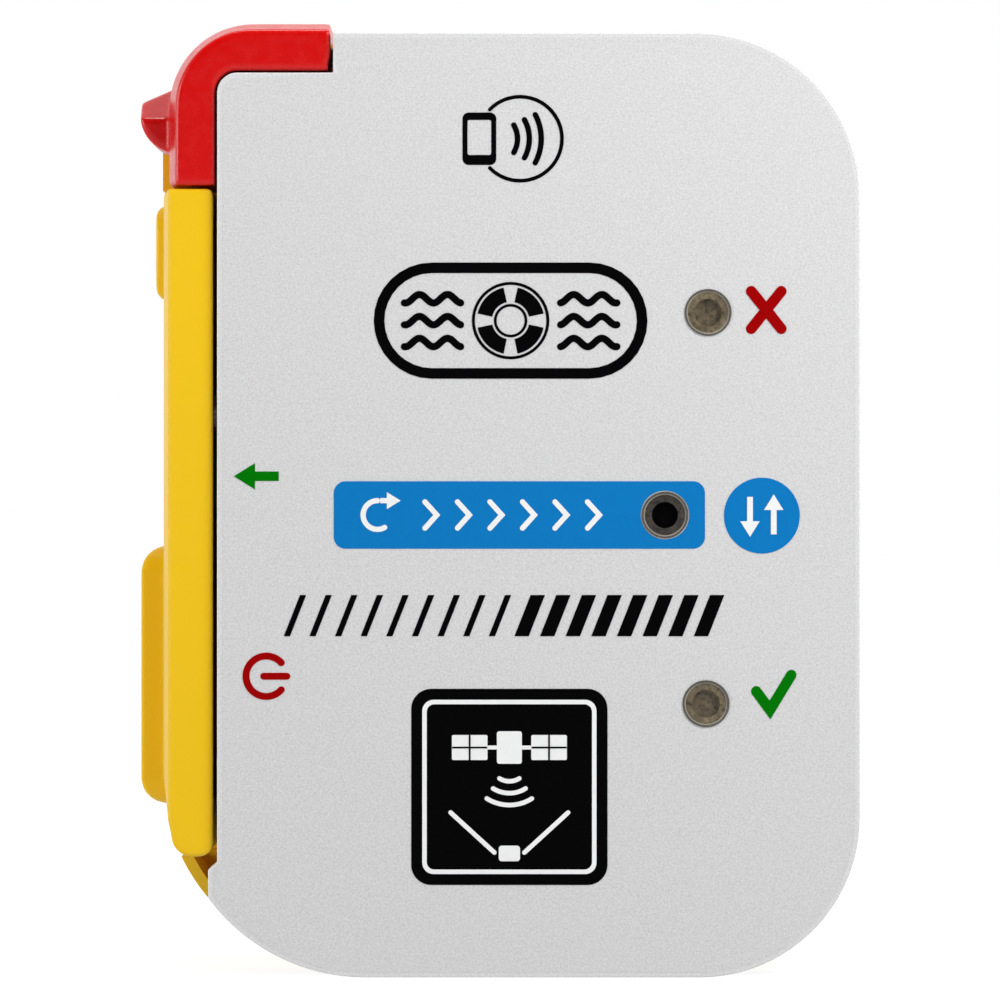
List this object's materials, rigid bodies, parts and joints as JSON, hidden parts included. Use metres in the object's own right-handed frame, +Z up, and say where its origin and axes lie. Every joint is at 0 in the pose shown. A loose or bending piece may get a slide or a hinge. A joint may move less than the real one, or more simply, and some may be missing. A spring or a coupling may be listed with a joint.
{
  "type": "emergency position beacon",
  "caption": "Pocket distress beacon: sealed case, silver face with indicator windows, wrap-round blade antenna with a red pull cap, and hinged flap over its buttons.",
  "frame": {"origin": "middle of the flat bottom end that the beacon stands on", "axes": "+Z up along the beacon's height, the face looks towards -Y, +X to the face's right when the face is looked at"},
  "size_m": [0.0584, 0.036, 0.0765],
  "materials": {
    "case_yellow": "moulded, fine satin",
    "flap_yellow": "soft satin",
    "cover_silver": "fine metallic grain",
    "face_print": "printed overlay with metallic grain",
    "rear_print": "printed overlay",
    "seal_rubber": "matte",
    "stainless": "turned",
    "window_smoke": "smoked translucent",
    "window_dark": "smoked translucent",
    "led_body": "moulded",
    "board_green": "solder mask",
    "tinned_steel": "tinned",
    "patch_ceramic": "fired ceramic",
    "coil_copper": "etched",
    "cradle_black": "moulded",
    "cell_wrap": "shrink film",
    "keypad_rubber": "matte",
    "button_red": "semi-gloss",
    "button_green": "semi-gloss",
    "brass_part": "machined",
    "blade_black": "sprung steel in a thin glossy black sleeve",
    "cap_red": "soft satin"
  },
  "bodies": {
    "root": {"rear_case": "case_yellow", "front_cover": "cover_silver", "face_label": "face_print", "rear_label": "rear_print", "case_seal": "seal_rubber", "case_screws": "stainless", "fault_window": "window_smoke", "link_window": "window_dark", "pass_window": "window_smoke", "indicator_leds": "led_body", "main_board": "board_green", "radio_shield": "tinned_steel", "satellite_patch": "patch_ceramic", "contactless_coil": "coil_copper", "battery_cradle": "cradle_black", "battery_cell_1": "cell_wrap", "battery_cell_2": "cell_wrap", "battery_contacts": "tinned_steel", "button_board": "board_green", "button_switches": "tinned_steel", "keypad_membrane": "keypad_rubber", "flap_pin": "stainless", "antenna_clamp": "brass_part", "antenna_screw": "stainless", "antenna_feed": "brass_part", "antenna_wrap": "blade_black"},
    "flap": {"side_flap": "flap_yellow"},
    "on_button": {"on_button": "button_red"},
    "test_button": {"test_button": "button_green"},
    "antenna_link_1": {"antenna_link_1": "blade_black"},
    "antenna_link_2": {"antenna_link_2": "blade_black"},
    "antenna_tip": {"antenna_blade": "blade_black", "antenna_cap": "cap_red"}
  },
  "joints": [
    {"name": "antenna_deploy", "type": "hinge", "parent": "root", "child": "antenna_link_1", "pos_m": [0.02576, -0.0073, 0.06559], "axis": [0, 1, 0], "range_deg": [0, 30]},
    {"name": "antenna_bend_2", "type": "hinge", "parent": "antenna_link_1", "child": "antenna_link_2", "pos_m": [0.02277, -0.0073, 0.07077], "axis": [0, 1, 0], "range_deg": [0, 30]},
    {"name": "antenna_bend_3", "type": "hinge", "parent": "antenna_link_2", "child": "antenna_tip", "pos_m": [0.01759, -0.0073, 0.07376], "axis": [0, 1, 0], "range_deg": [0, 30]},
    {"name": "flap_open", "type": "hinge", "parent": "root", "child": "flap", "pos_m": [-0.02587, 0.006, 0.01128], "axis": [0, -1, 0], "range_deg": [0, 95]},
    {"name": "on_button_press", "type": "slide", "parent": "root", "child": "on_button", "axis": [1, 0, 0], "range_m": [0, 0.001], "stiffness_N_per_m": 3000},
    {"name": "test_button_press", "type": "slide", "parent": "root", "child": "test_button", "axis": [1, 0, 0], "range_m": [0, 0.0008], "stiffness_N_per_m": 2500}
  ],
  "couplings": [
    {"joint": "antenna_bend_2", "follows": "antenna_deploy", "ratio": 1},
    {"joint": "antenna_bend_3", "follows": "antenna_deploy", "ratio": 1}
  ]
}
